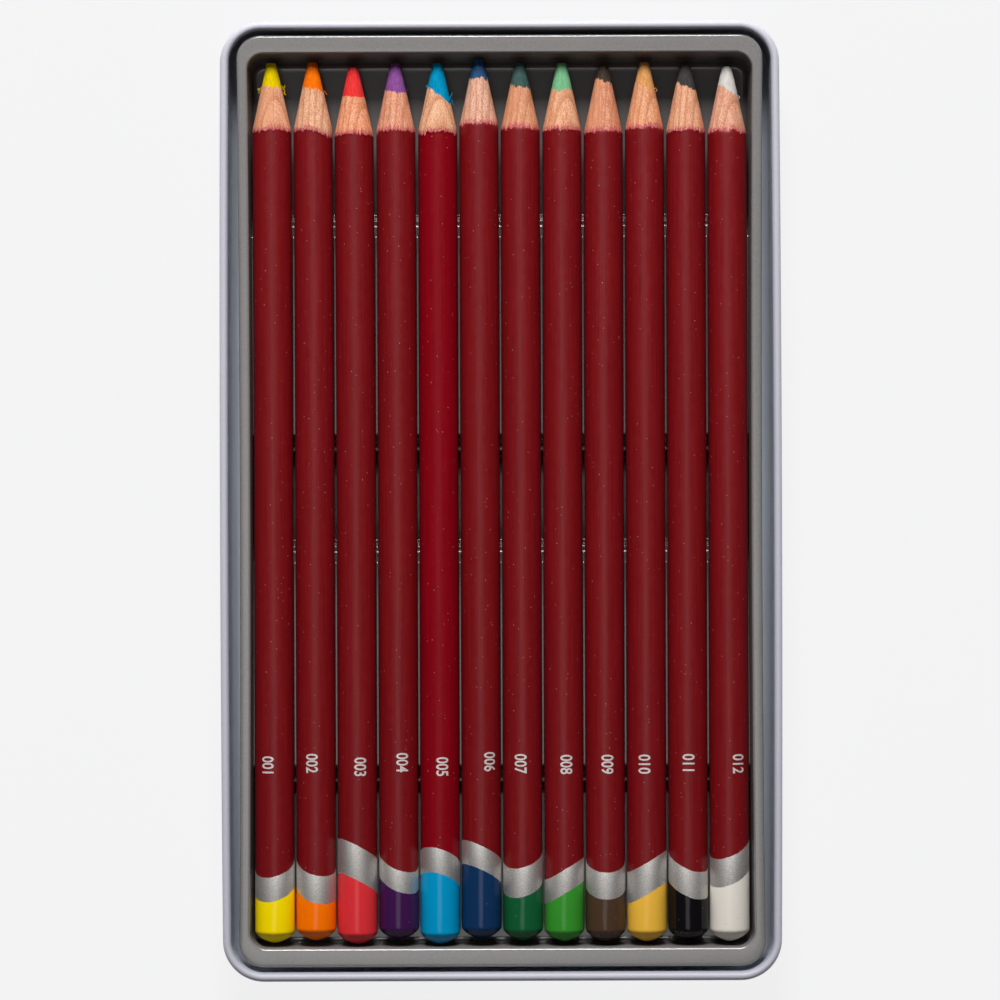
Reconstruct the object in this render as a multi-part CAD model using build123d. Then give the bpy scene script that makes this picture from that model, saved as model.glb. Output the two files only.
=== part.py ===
"""A flat tin of twelve pastel pencils in a formed tray, open, without its lid.

Millimetres. X runs across the pencils, Y along them towards the points, Z up. The origin is the middle
of the tin's footprint, on the surface that it stands on.
"""

from build123d import *
import math
import os

# The tin: drawn from one sheet, its rim rolled outwards into a bead
TIN_LENGTH = 196.4
TIN_WIDTH = 115.0
TIN_HEIGHT = 13.0
TIN_CORNER = 8.4
TIN_SWELL = 0.35  # each long side bows outwards by this at mid-length
TIN_SHEET = 0.3
TIN_BEVEL = 1.2  # between floor and wall, outside
BEAD = 1.75  # diameter
BEAD_TURN = 300  # degrees that the rim is rolled through

# The tray: one formed sheet that stands on the tin's floor
TRAY_LENGTH = 191.0
TRAY_WIDTH = 107.0
TRAY_CORNER = 4.9
TRAY_WAIST = 0.4  # each long side draws in by this at mid-length
TRAY_TOP = 11.6
TRAY_SHEET = 0.5
TRAY_SHIFT = 0.1  # it lies this much nearer to the points' end
LIP_DEPTH = 2.2  # the flange's edge turns down this far
LIP_ROUND = 0.7
MOUTH_LENGTH = 183.4
MOUTH_WIDTH = 102.7
MOUTH_CORNER = 3.4
MOUTH_ROUND = 0.5
WALL_DRAFT = 4  # degrees
FLOOR_EASE = 0.9  # bevel between wall and floor

# The bed: two low blocks across the tray, parted by a gap at mid-length, with a ridge between pencils.
# Each pair is the Y of a block's two ends at its top
BEDS = ((-58.0, -9.2), (10.3, 58.0))
BED_TOP = 3.6
BED_SLOPE = 20  # degrees that its ends lean
RIDGES = ((-54.5, -12.6), (13.7, 54.5))
RIDGE_TOP = 6.2
RIDGE_SLOPE = 40
RIDGE_EASE = 0.1  # bevel along the ridges' crests
BED_EASE = 0.5

# The pencils
PITCH = 8.5
AXIS_HEIGHT = 7.3
BARREL = 8.05  # diameter over the lacquer
CORE = 4.0
POINT = 14.0  # length of the sharpened cone
POINT_FLAT = 2.0  # diameter that the point has worn to
DIP = 0.075  # how far the dipped coat over the blunt end stands out from the lacquer
DIP_FLOOR = 0.5  # what the dipped coat adds over the end of the core
DIP_SLANT = 28  # degrees that the dipped coat's edge leans
END_BEVEL = 2.1
GROOVE_GAP = 0.15  # between a barrel and its groove

# Each pencil: the Y of its blunt end, its length, the length of its dip along the axis, and the degrees
# that it has rolled about Y in its groove
PENCILS = {
    "yellow": (-90.7, 180.9, 11.3, -30),
    "orange": (-90.2, 180.5, 10.0, 33),
    "red": (-91.0, 180.3, 12.4, 118),
    "violet": (-90.1, 180.1, 12.0, 38),
    "cyan": (-91.0, 181.0, 13.5, 149),
    "blue": (-90.0, 181.0, 13.2, 124),
    "dark_green": (-90.4, 180.5, 11.4, -25),
    "light_green": (-90.6, 180.6, 10.1, -90),
    "brown": (-90.6, 180.1, 11.2, 3),
    "ochre": (-90.6, 180.7, 10.0, -90),
    "black": (-90.5, 180.4, 11.0, 42),
    "white": (-90.6, 179.8, 13.5, -43),
}


def outline(length, width, corner, bow):
    """A rounded oblong whose long sides bow outwards, or inwards where bow is negative."""
    x, y = width / 2, length / 2
    with BuildSketch() as sketch:
        with BuildLine():
            ThreePointArc((x - bow, -y), (x, 0), (x - bow, y))
            Line((x - bow, y), (bow - x, y))
            ThreePointArc((bow - x, y), (-x, 0), (bow - x, -y))
            Line((bow - x, -y), (x - bow, -y))
        make_face()
        fillet(sketch.vertices(), corner)
    return sketch.sketch


def wall_section(plane):
    """The sheet's section, from floor to rolled rim. The wall's middle stands on x = 0."""
    half, floor_end = TIN_SHEET / 2, -TIN_BEVEL - 1
    mitre = TIN_SHEET * math.tan(math.radians(22.5))
    bead_height = TIN_HEIGHT - BEAD / 2
    bead_middle = (BEAD - TIN_SHEET) / 2
    corners = [
        (floor_end, 0),
        (half - TIN_BEVEL, 0),
        (half, TIN_BEVEL),
        (half, bead_height),
        (-half, bead_height),
        (-half, TIN_BEVEL + mitre),
        (half - TIN_BEVEL - mitre, TIN_SHEET),
        (floor_end, TIN_SHEET),
    ]
    with BuildSketch(plane) as section:
        with BuildLine():
            Polyline(*corners, close=True)
        make_face()
        with BuildLine():
            CenterArc((bead_middle, bead_height), bead_middle, 180, -BEAD_TURN)
        trace(line_width=TIN_SHEET)
    return section.sketch


def tin_base():
    """The sheet's section carried round the tin and closed by its floor."""
    inset = BEAD - TIN_SHEET / 2
    wall = outline(TIN_LENGTH - 2 * inset, TIN_WIDTH - 2 * inset, TIN_CORNER - inset, TIN_SWELL)
    start = Plane((TIN_WIDTH / 2 - inset, 0, 0), x_dir=(1, 0, 0), z_dir=(0, -1, 0))
    rim = sweep(wall_section(start), path=wall.wire())
    floor_inset = inset + TIN_BEVEL + 0.5
    panel = outline(
        TIN_LENGTH - 2 * floor_inset, TIN_WIDTH - 2 * floor_inset, TIN_CORNER - floor_inset, TIN_SWELL
    )
    return rim + extrude(panel, TIN_SHEET)


def pencil_places():
    """The X of each pencil's axis, from the left."""
    first = -PITCH * (len(PENCILS) - 1) / 2
    return [first + PITCH * k for k in range(len(PENCILS))]


def block(start, end, top, slope, ease):
    """A bar across the tray with leaning ends and eased upper edges, from below the floor to top."""
    low = -5
    spread = (top - low) * math.tan(math.radians(slope))
    with BuildSketch(Plane.YZ) as side:
        with BuildLine():
            Polyline((start - spread, low), (start, top), (end, top), (end + spread, low), close=True)
        make_face()
    bar = extrude(side.sketch, MOUTH_WIDTH / 2, both=True)
    crests = bar.faces().sort_by(Axis.Z)[-1].edges().filter_by(Axis.X)
    return chamfer(crests, ease) if ease else bar


def bed(skin):
    """The raised bed: the sheet's upper side, or its underside where skin is the sheet's thickness."""
    low = [block(start + skin, end - skin, BED_TOP - skin, BED_SLOPE, BED_EASE) for start, end in BEDS]
    ridges = [block(start + skin, end - skin, RIDGE_TOP - skin, RIDGE_SLOPE, 0) for start, end in RIDGES]
    groove = Cylinder(BARREL / 2 + GROOVE_GAP + skin, TRAY_LENGTH)
    form = low[0] + low[1] + ridges[0] + ridges[1]
    for x in pencil_places():
        form -= Pos(x, 0, AXIS_HEIGHT) * Rot(90, 0, 0) * groove
    if skin:
        return form
    crests = [f for f in form.faces().filter_by(Axis.Z) if abs(f.center().Z - RIDGE_TOP) < 0.01]
    return chamfer([edge for crest in crests for edge in crest.edges()], RIDGE_EASE)


def pocket(skin):
    """The hollow of the tray down to the sheet's upper side, or grown by skin to its underside."""
    depth = TRAY_TOP - TIN_SHEET - TRAY_SHEET + skin
    mouth = outline(
        MOUTH_LENGTH + 2 * skin, MOUTH_WIDTH + 2 * skin, MOUTH_CORNER + skin, -TRAY_WAIST
    )
    hollow = extrude(Pos(0, 0, TRAY_TOP) * mouth, amount=-depth, taper=WALL_DRAFT)
    hollow = chamfer(hollow.faces().sort_by(Axis.Z)[0].edges(), FLOOR_EASE + skin / 2)
    return Pos(0, TRAY_SHIFT, 0) * hollow - bed(skin)


def flange():
    """The tray's flat flange, its outer edge rounded and turned down into a lip."""
    rim = outline(TRAY_LENGTH, TRAY_WIDTH, TRAY_CORNER, -TRAY_WAIST)
    inner = outline(
        TRAY_LENGTH - 2 * TRAY_SHEET, TRAY_WIDTH - 2 * TRAY_SHEET, TRAY_CORNER - TRAY_SHEET, -TRAY_WAIST
    )
    cover = extrude(Pos(0, 0, TRAY_TOP) * rim, amount=-LIP_DEPTH)
    cover = fillet(cover.faces().sort_by(Axis.Z)[-1].edges(), LIP_ROUND)
    under = extrude(Pos(0, 0, TRAY_TOP - TRAY_SHEET) * inner, amount=-LIP_DEPTH)
    return Pos(0, TRAY_SHIFT, 0) * (cover - under)


def pencil_tray():
    """One sheet: flange, walls, troughs and bed."""
    tray = flange() + pocket(TRAY_SHEET) - pocket(0)
    top = tray.faces().filter_by(Axis.Z).sort_by(Axis.Z)[-1]
    return fillet(top.inner_wires()[0].edges(), MOUTH_ROUND)


def cone_place(length, radius):
    """How far along a pencil its cone has this radius."""
    tip = POINT_FLAT / 2
    return length - POINT * (radius - tip) / (BARREL / 2 - tip)


def turned(*corners):
    """The solid that a closed outline of (radius, place along the pencil) sweeps about Y."""
    return revolve(make_face(Polyline(*corners, close=True)), Axis.Y)


def dipped_end(reach):
    """The coat over the blunt end, filled, and cut on a slant that lies lowest on its upper side."""
    radius = BARREL / 2 + DIP
    far = reach + BARREL
    end = turned((0, 0), (radius - END_BEVEL, 0), (radius, END_BEVEL), (radius, far), (0, far))
    slant = Plane((0, reach, 0), x_dir=(1, 0, 0), z_dir=Vector(0, 1, 0).rotate(Axis.X, DIP_SLANT))
    return split(end, slant, keep=Keep.BOTTOM)


def casing(length, reach):
    """The wood with its lacquer and dipped end, bored for the core and cut to a cone at the point."""
    barrel, bore = BARREL / 2, CORE / 2
    wood = turned(
        (0, END_BEVEL),
        (barrel, END_BEVEL),
        (barrel, cone_place(length, barrel)),
        (bore, cone_place(length, bore)),
        (0, cone_place(length, bore)),
    )
    hole = turned((0, DIP_FLOOR), (bore, DIP_FLOOR), (bore, length), (0, length))
    return wood + dipped_end(reach) - hole


def core(length):
    """The round core, from just under the dipped end to the point."""
    radius, tip = CORE / 2, POINT_FLAT / 2
    return turned(
        (0, DIP_FLOOR), (radius, DIP_FLOOR), (radius, cone_place(length, radius)), (tip, length), (0, length)
    )


def main():
    """Writes one file for each piece."""
    os.makedirs("parts", exist_ok=True)
    pieces = {"tin_base": tin_base(), "pencil_tray": pencil_tray()}
    for x, (name, (end, length, reach, roll)) in zip(pencil_places(), PENCILS.items()):
        lie = Pos(x, end, AXIS_HEIGHT) * Rot(0, roll, 0)
        pieces[f"{name}_casing"] = lie * casing(length, reach)
        pieces[f"{name}_core"] = lie * core(length)
    for name, piece in pieces.items():
        export_step(piece, f"parts/{name}.step")
        print(name, len(piece.solids()), "solids", round(piece.volume, 1), "mm3")


main()
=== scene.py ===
# %% [markdown]
# # A flat tin of pastel pencils
#
# The object is an open tin, drawn from one sheet of tinplate, with a formed plastic tray in it and twelve
# round pencils lying in the tray's grooves. This script dresses the CAD model of it. Millimetres are used
# for every size of the real thing, and turned to metres where a mesh is made.

# %% Load the CAD model
import math
from collections import namedtuple

import bmesh
import bpy
from mathutils import Matrix, Vector, noise


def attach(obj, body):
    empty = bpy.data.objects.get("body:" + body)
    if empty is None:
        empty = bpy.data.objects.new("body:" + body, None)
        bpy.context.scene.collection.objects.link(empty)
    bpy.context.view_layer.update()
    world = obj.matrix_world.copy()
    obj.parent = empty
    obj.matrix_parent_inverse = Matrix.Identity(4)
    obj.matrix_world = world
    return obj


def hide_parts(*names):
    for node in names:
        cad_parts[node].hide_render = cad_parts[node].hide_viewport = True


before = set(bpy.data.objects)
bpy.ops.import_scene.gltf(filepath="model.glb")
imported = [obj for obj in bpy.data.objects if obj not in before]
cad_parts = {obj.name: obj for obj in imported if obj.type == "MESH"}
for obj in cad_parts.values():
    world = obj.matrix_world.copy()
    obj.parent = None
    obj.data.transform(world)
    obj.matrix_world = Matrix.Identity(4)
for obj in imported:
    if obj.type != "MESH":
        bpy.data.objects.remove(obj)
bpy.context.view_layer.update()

MM = 0.001

# %% [markdown]
# ## Small helpers
#
# Every tree in this file, for a material or for geometry, is made of nodes with settings and links, so one
# function adds a node and one feeds its sockets. A colour is given in sRGB, but Blender's sockets
# want linear light, so one function turns a hex code into linear values.


# %% Nodes, objects and colours
def feed(node, inputs):
    """Gives each named socket a value, or a link from a socket or from another node's first output."""
    for name, value in inputs.items():
        if isinstance(value, bpy.types.Node):
            value = value.outputs[0]
        if isinstance(value, bpy.types.NodeSocket):
            node.id_data.links.new(value, node.inputs[name])
        else:
            node.inputs[name].default_value = value


def add(tree, kind, inputs=(), **settings):
    """A new node. settings are its own options, and inputs is what its sockets are fed."""
    node = tree.nodes.new(kind)
    for name, value in settings.items():
        setattr(node, name, value)
    feed(node, dict(inputs))
    return node


def put(name, data):
    """A new object in the scene."""
    holder = bpy.data.objects.new(name, data)
    bpy.context.scene.collection.objects.link(holder)
    return holder


def linear(code):
    """An sRGB hex code as linear red, green, blue and alpha."""
    parts = [int(code[k : k + 2], 16) / 255 for k in (1, 3, 5)]
    return [p / 12.92 if p <= 0.04045 else ((p + 0.055) / 1.055) ** 2.4 for p in parts] + [1.0]


print("mid grey is", round(linear("#808080")[0], 3), "in linear light")

# %% [markdown]
# ## The camera
#
# The tin is seen from straight above. A short lens close by would show the tin's walls and open up the
# gaps between the pencils, so the camera stands 900 mm over the tray's flange with a long lens. The frame
# is 204.7 mm wide there. The tin lies a fifth of a degree askew under it.

# %% Place the camera
FLANGE_HEIGHT = 11.6
CAMERA_DISTANCE = 900.0
CAMERA_SHIFT = (-0.2, 0.2)  # its X and Y
FRAME_WIDTH = 204.7
ASKEW = math.radians(0.2)

camera_data = bpy.data.cameras.new("camera")
camera_data.sensor_width = 36.0
camera_data.lens = camera_data.sensor_width * CAMERA_DISTANCE / FRAME_WIDTH
camera = put("camera", camera_data)
camera.location = Vector((*CAMERA_SHIFT, FLANGE_HEIGHT + CAMERA_DISTANCE)) * MM
camera.rotation_euler = (0, 0, -ASKEW)
bpy.context.scene.camera = camera
bpy.context.scene.view_settings.view_transform = "Standard"
print("lens", round(camera_data.lens, 1), "mm")

# %% [markdown]
# ## Light
#
# A studio lights such a flat thing with one big soft lamp behind it, which runs a thin highlight along each
# rounded edge that faces it, and with a weak one above that fills the shadows. Area lamps do this. Their size
# matters more than their strength: a large lamp makes the broad, dull highlight on the lacquer.


# %% Hang the lamps
def lamp(name, watts, size, place):
    """A square area lamp of that size in millimetres, turned towards the tin."""
    data = bpy.data.lights.new(name, "AREA")
    data.energy = watts
    data.size = size * MM
    holder = put(name, data)
    holder.location = Vector(place) * MM
    holder.rotation_euler = (-Vector(place)).to_track_quat("-Z", "Y").to_euler()


lamp("key_behind", 17.8, 400, (-60, 900, 718))
lamp("top_fill", 0.8, 420, (-60, -130, 1150))

world = bpy.data.worlds.new("studio")
world.use_nodes = True
feed(world.node_tree.nodes["Background"], {"Color": linear("#F4F4F5"), "Strength": 0.05})
bpy.context.scene.world = world
print("lamps:", len(bpy.data.lights))

# %% [markdown]
# ## The floor
#
# The floor is a pale sheet. It has to stay even and near white around the tin, yet keep the tin's shadow.
# So rays from the camera, and those that a mirror or clear plastic sends on, see mostly a plain pale glow,
# with some of the lit, shadowed sheet mixed in, and the light itself is left as it is.

# %% Lay the floor
FLOOR_COLOUR = linear("#F4F4F5")
FLOOR_GLOW = 0.94  # share of the plain glow
FLOOR_REACH = 3000.0  # from the middle to each side
FLOOR_DROP = 0.02  # the tin stands this far over it


def make_floor():
    mesh = bpy.data.meshes.new("floor")
    corners = [Vector((x * FLOOR_REACH, y * FLOOR_REACH, -FLOOR_DROP)) * MM
               for x, y in ((-1, -1), (1, -1), (1, 1), (-1, 1))]
    mesh.from_pydata(corners, [], [(0, 1, 2, 3)])
    paper = bpy.data.materials.new("matte paper")
    paper.use_nodes = True
    tree = paper.node_tree
    tree.nodes.clear()
    rays = add(tree, "ShaderNodeLightPath").outputs
    seen = rays["Is Camera Ray"]
    for kind in ("Is Glossy Ray", "Is Transmission Ray"):
        seen = add(tree, "ShaderNodeMath", {0: seen, 1: rays[kind]}, operation="MAXIMUM")
    share = add(tree, "ShaderNodeMath", {0: seen, 1: FLOOR_GLOW}, operation="MULTIPLY")
    lit = add(tree, "ShaderNodeBsdfDiffuse", {"Color": FLOOR_COLOUR})
    glow = add(tree, "ShaderNodeEmission", {"Color": FLOOR_COLOUR, "Strength": 1.0})
    both = add(tree, "ShaderNodeMixShader", {0: share, 1: lit, 2: glow})
    add(tree, "ShaderNodeOutputMaterial", {"Surface": both})
    mesh.materials.append(paper)
    return put("floor", mesh)


floor = make_floor()
print("floor is", floor.dimensions.x, "m wide")

# %% [markdown]
# ## Where patterns come from
#
# All patterns here read object coordinates, so they stay on a piece when it moves. One helper starts a
# material and hands back what the next steps need: its tree, its shader, and its coordinates in
# millimetres, so that every scale below can be given as a real size.


# %% Start a material
def new_finish(name, colour, roughness, **values):
    """A material and its tree, shader and millimetre coordinates. values are more sockets of the shader."""
    material = bpy.data.materials.new(name)
    material.use_nodes = True
    tree = material.node_tree
    shader = tree.nodes["Principled BSDF"]
    feed(shader, {"Base Color": linear(colour), "Roughness": roughness})
    feed(shader, {socket.replace("_", " "): value for socket, value in values.items()})
    place = add(tree, "ShaderNodeTexCoord").outputs["Object"]
    size = add(tree, "ShaderNodeVectorMath", {0: place, 1: (1 / MM, 1 / MM, 1 / MM)}, operation="MULTIPLY")
    return material, tree, shader, size


def stretched(tree, place, grain):
    """Coordinates for a pattern whose grain has these lengths in millimetres along X, Y and Z."""
    return add(tree, "ShaderNodeMapping", {"Vector": place, "Scale": [1 / length for length in grain]})


def cloud(tree, place, grain, detail=3.0, roughness=0.5):
    """Noise whose blotches have these lengths."""
    return add(tree, "ShaderNodeTexNoise", {
        "Vector": stretched(tree, place, grain), "Scale": 1.0, "Detail": detail, "Roughness": roughness,
    }).outputs["Fac"]


def between(tree, fac, low, high, start, end):
    """A value that goes from start to end while fac goes from low to high."""
    return add(tree, "ShaderNodeMapRange", {
        "Value": fac, "From Min": low, "From Max": high, "To Min": start, "To Max": end,
    }).outputs["Result"]


def blend(tree, fac, first, second):
    """A mix of two colours, each a hex code or a socket."""
    colours = [linear(c) if isinstance(c, str) else c for c in (first, second)]
    return add(tree, "ShaderNodeMix", {0: fac, 6: colours[0], 7: colours[1]}, data_type="RGBA").outputs[2]


def layered(tree, colour, *layers):
    """Colours laid over the first. Each layer is a pattern, then low, high, start and end of its share as in
    between, and its colour."""
    for fac, low, high, start, end, over in layers:
        colour = blend(tree, between(tree, fac, low, high, start, end), colour, over)
    return colour


def dent(tree, shader, height, depth):
    """Bump of that depth in millimetres."""
    feed(shader, {"Normal": add(tree, "ShaderNodeBump", {"Height": height, "Strength": 1.0,
                                                         "Distance": depth * MM})})


print("material helpers are ready")

# %% [markdown]
# ## The tin's finishes
#
# The outside of the tin is white enamel, printed on the sheet before it is drawn, with a trace of blue. It is
# smooth and half glossy. Towards the curl's inner side the enamel is painted greyer, as painted shade.
# The inside below the rolled rim is tinplate, steel with a thin bright coat of tin, under a pale lacquer that
# keeps it from rusting. So it scatters light between tray and wall more than it mirrors it, and its rolling
# marks still show.

# %% Enamel and tinplate
CURL_SHADE_SHARE = "share_over_the_curl"  # 0 at the tin's outermost line, 1 at the curl's inner side
enamel, tree, shader, mm = new_finish("white printed enamel", "#C5C5D0", 0.45, IOR=1.5,
                                      Specular_IOR_Level=0.35)
specks = cloud(tree, mm, (0.5, 0.5, 0.5), 4.0)
over = add(tree, "ShaderNodeAttribute", attribute_name=CURL_SHADE_SHARE).outputs["Fac"]
# Painted shade: #A4A3B0 greys the enamel towards the curl's inner side
feed(shader, {"Base Color": layered(tree, "#C2C2CD", (specks, 0.35, 0.7, 0, 1, "#C9C8D3"),
                                    (over, 0.6, 1.0, 0, 1, "#A4A3B0"))})
dent(tree, shader, specks, 0.004)

tinplate, tree, shader, mm = new_finish("lacquered tinplate", "#D3D9E4", 0.4, Metallic=0.3)
rolling = cloud(tree, mm, (0.35, 14, 0.35))
feed(shader, {"Roughness": between(tree, rolling, 0.3, 0.7, 0.3, 0.5)})
dent(tree, shader, rolling, 0.01)
print(enamel.name, "and", tinplate.name)

# %% [markdown]
# ## The tin
#
# A press draws the tin from a flat sheet, and a roller then curls its rim outwards into a bead, which hides
# the raw edge and stiffens the wall. Its shape follows a rule: one section, carried round one outline. That
# is what Geometry Nodes' Curve to Mesh does, so the outline is a quadrilateral with filleted corners, and the
# section is three strips that meet end to end: bend, wall and curl. The floor fills the lowest loop. A
# Solidify modifier then gives the sheet its thickness.

# %% The tin's sizes
TIN_LENGTH, TIN_WIDTH, TIN_HEIGHT = 196.4, 115.0, 13.0
TIN_CORNER = 8.4
TIN_SWELL = 0.35
TIN_SHEET = 0.3
TIN_BEND = 1.8
BEAD = 1.75
BEAD_TURN = math.radians(300)
WELD = 0.01  # points nearer to each other than this become one
SHARP = math.radians(50)  # an edge that turns by more stays sharp

wall_inset = BEAD - TIN_SHEET / 2
bead_radius = (BEAD - TIN_SHEET) / 2
bead_height = TIN_HEIGHT - BEAD / 2
print("the bead's middle is", bead_height, "mm up")


# %% Start and end a tree of geometry
def new_tree(name, inputs):
    """A Geometry Nodes tree and its inputs as sockets. inputs gives the kind of each named one."""
    tree = bpy.data.node_groups.new(name, "GeometryNodeTree")
    for socket, kind in inputs.items():
        tree.interface.new_socket(socket, in_out="INPUT", socket_type=f"NodeSocket{kind}")
    tree.interface.new_socket("Geometry", in_out="OUTPUT", socket_type="NodeSocketGeometry")
    return tree, add(tree, "NodeGroupInput").outputs


def end_tree(tree, geometry, material):
    """Makes every instance real, sets the material and hands the geometry out."""
    real = add(tree, "GeometryNodeRealizeInstances", {"Geometry": geometry})
    coated = add(tree, "GeometryNodeSetMaterial", {"Geometry": real, "Material": material})
    add(tree, "NodeGroupOutput", {"Geometry": coated})
    print(tree.name, "has", len(tree.nodes), "nodes")


# %% Build the tin's tree
def tin_tree():
    """Bend, wall, curl and floor, as one sheet with no thickness."""
    measures = ("Length", "Width", "Corner", "Swell", "Bend", "Wall Height", "Bead Radius", "Bead Turn")
    tree, size = new_tree("rolled tin", {**dict.fromkeys(measures, "Float"), "Material": "Material"})

    # The outline, with each long side swelling most at its middle
    oblong = add(tree, "GeometryNodeCurvePrimitiveQuadrilateral",
                 {"Width": size["Width"], "Height": size["Length"]})
    runs = add(tree, "GeometryNodeSubdivideCurve", {"Curve": oblong, "Cuts": 12})
    rounded = add(tree, "GeometryNodeFilletCurve", {"Curve": runs, "Count": 14, "Radius": size["Corner"]},
                  mode="POLY")
    here = add(tree, "ShaderNodeSeparateXYZ", {0: add(tree, "GeometryNodeInputPosition")}).outputs
    along = add(tree, "ShaderNodeMath", {0: here["Y"], 1: size["Length"]}, operation="DIVIDE")
    doubled = add(tree, "ShaderNodeMath", {0: along, 1: 2.0}, operation="MULTIPLY")
    squared = add(tree, "ShaderNodeMath", {0: doubled, 1: doubled}, operation="MULTIPLY")
    share = add(tree, "ShaderNodeMath", {0: 1.0, 1: squared}, operation="SUBTRACT", use_clamp=True)
    side = add(tree, "ShaderNodeMath", {0: here["X"]}, operation="SIGN")
    push = add(tree, "ShaderNodeMath", {0: share, 1: side}, operation="MULTIPLY")
    out = add(tree, "ShaderNodeMath", {0: push, 1: size["Swell"]}, operation="MULTIPLY")
    offset = add(tree, "ShaderNodeCombineXYZ", {"X": out})
    outline = add(tree, "GeometryNodeSetPosition", {"Geometry": rounded, "Offset": offset})

    # The section: the bend's arc, the wall's line and the curl's arc
    bend = add(tree, "GeometryNodeCurveArc", {"Resolution": 8, "Radius": size["Bend"],
                                              "Start Angle": -math.pi / 2, "Sweep Angle": math.pi / 2})
    inwards = add(tree, "ShaderNodeMath", {0: size["Bend"], 1: -1.0}, operation="MULTIPLY")
    bend_place = add(tree, "ShaderNodeCombineXYZ", {"X": inwards, "Y": size["Bend"]})
    bend = add(tree, "GeometryNodeTransform", {"Geometry": bend, "Translation": bend_place})
    foot = add(tree, "ShaderNodeCombineXYZ", {"Y": size["Bend"]})
    head = add(tree, "ShaderNodeCombineXYZ", {"Y": size["Wall Height"]})
    wall = add(tree, "GeometryNodeCurvePrimitiveLine", {"Start": foot, "End": head})
    wall = add(tree, "GeometryNodeResampleCurve", {"Curve": wall, "Count": 7})
    curl = add(tree, "GeometryNodeCurveArc", {"Resolution": 33, "Radius": size["Bead Radius"],
                                              "Start Angle": math.pi, "Sweep Angle": size["Bead Turn"]})
    curl_place = add(tree, "ShaderNodeCombineXYZ", {"X": size["Bead Radius"], "Y": size["Wall Height"]})
    curl = add(tree, "GeometryNodeTransform", {"Geometry": curl, "Translation": curl_place})
    section = add(tree, "GeometryNodeJoinGeometry")
    for strip in (curl, wall, bend):
        feed(section, {0: strip})

    # A section's Y points down on this outline, so it is turned over before it is carried round
    upright = add(tree, "GeometryNodeTransform", {"Geometry": section, "Rotation": (math.pi, 0, 0)})
    sheet = add(tree, "GeometryNodeCurveToMesh", {"Curve": outline, "Profile Curve": upright})
    sheet = add(tree, "GeometryNodeMergeByDistance", {"Geometry": sheet, "Distance": WELD * MM})

    # The floor fills the lowest loop
    faces = add(tree, "GeometryNodeInputMeshEdgeNeighbors")
    open_edge = add(tree, "FunctionNodeCompare", {2: faces, 3: 1}, data_type="INT", operation="EQUAL")
    height = add(tree, "ShaderNodeSeparateXYZ", {0: add(tree, "GeometryNodeInputPosition")}).outputs["Z"]
    low = add(tree, "FunctionNodeCompare", {0: height, 1: 1.0 * MM}, data_type="FLOAT",
              operation="LESS_THAN")
    lowest = add(tree, "FunctionNodeBooleanMath", {0: open_edge, 1: low}, operation="AND")
    loop = add(tree, "GeometryNodeMeshToCurve", {"Mesh": sheet, "Selection": lowest})
    bottom = add(tree, "GeometryNodeFillCurve", {"Curve": loop}, mode="NGONS")
    whole = add(tree, "GeometryNodeJoinGeometry")
    for part in (sheet, bottom):
        feed(whole, {0: part})
    welded = add(tree, "GeometryNodeMergeByDistance", {"Geometry": whole, "Distance": WELD * MM})
    end_tree(tree, welded, size["Material"])
    return tree


rolled_tin = tin_tree()


# %% Run a tree and keep its mesh
def keep_modified(holder):
    """Applies every modifier of an object, and names its mesh after it."""
    graph = bpy.context.evaluated_depsgraph_get()
    old = holder.data
    fresh = bpy.data.meshes.new_from_object(holder.evaluated_get(graph))
    holder.modifiers.clear()
    holder.data = fresh
    bpy.data.meshes.remove(old)
    fresh.name = holder.name


def grow(name, tree, values, guide=None):
    """A plain mesh object of what the tree makes. values gives its inputs, guide a mesh to start from."""
    holder = put(name, guide or bpy.data.meshes.new(name))
    modifier = holder.modifiers.new("tree", "NODES")
    modifier.node_group = tree
    for socket in tree.interface.items_tree:
        if socket.in_out == "INPUT" and socket.name in values:
            modifier[socket.identifier] = values[socket.name]
    bpy.context.view_layer.update()
    keep_modified(holder)
    # The mesh that the tree started from leaves an empty first slot
    holder.data.materials.clear()
    holder.data.materials.append(values["Material"])
    for face in holder.data.polygons:
        face.material_index = 0
    return holder


def face_outwards(mesh):
    """Turns every face of a mesh to point out of it."""
    form = bmesh.new()
    form.from_mesh(mesh)
    bmesh.ops.recalc_face_normals(form, faces=form.faces)
    form.to_mesh(mesh)
    form.free()


tin = grow("tin", rolled_tin, {
    "Length": (TIN_LENGTH - 2 * wall_inset) * MM,
    "Width": (TIN_WIDTH - 2 * TIN_SWELL - 2 * wall_inset) * MM,
    "Corner": (TIN_CORNER - wall_inset) * MM,
    "Swell": TIN_SWELL * MM,
    "Bend": (TIN_BEND - TIN_SHEET / 2) * MM,
    "Wall Height": (bead_height - TIN_SHEET / 2) * MM,
    "Bead Radius": bead_radius * MM,
    "Bead Turn": -BEAD_TURN,
    "Material": enamel,
})
tin.data.transform(Matrix.Translation((0, 0, TIN_SHEET / 2 * MM)))
print("the sheet has", len(tin.data.polygons), "faces and is", [round(v / MM, 2) for v in tin.dimensions])

# %% [markdown]
# A sheet with no thickness looks like paper at its edge, and light leaks through it. Solidify adds the real
# 0.3 mm, half to each side. The enamel is on the outside, and it follows the curl over the rim. Inside, the
# lacquered metal starts just under the curl, so those faces are given the second material by their place.

# %% Give the sheet its thickness
METAL_DROP = 0.6  # the enamel ends this far under the curl's middle, on the inner side
CURL_DROP = 0.3  # and the painted shade on the curl starts this far under it


def thicken(holder, thickness, offset):
    """Solidify, in millimetres. An offset of -1 leaves the sheet's own side where it is."""
    solid = holder.modifiers.new("sheet", "SOLIDIFY")
    solid.thickness = thickness * MM
    solid.offset = offset
    keep_modified(holder)
    face_outwards(holder.data)


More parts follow.
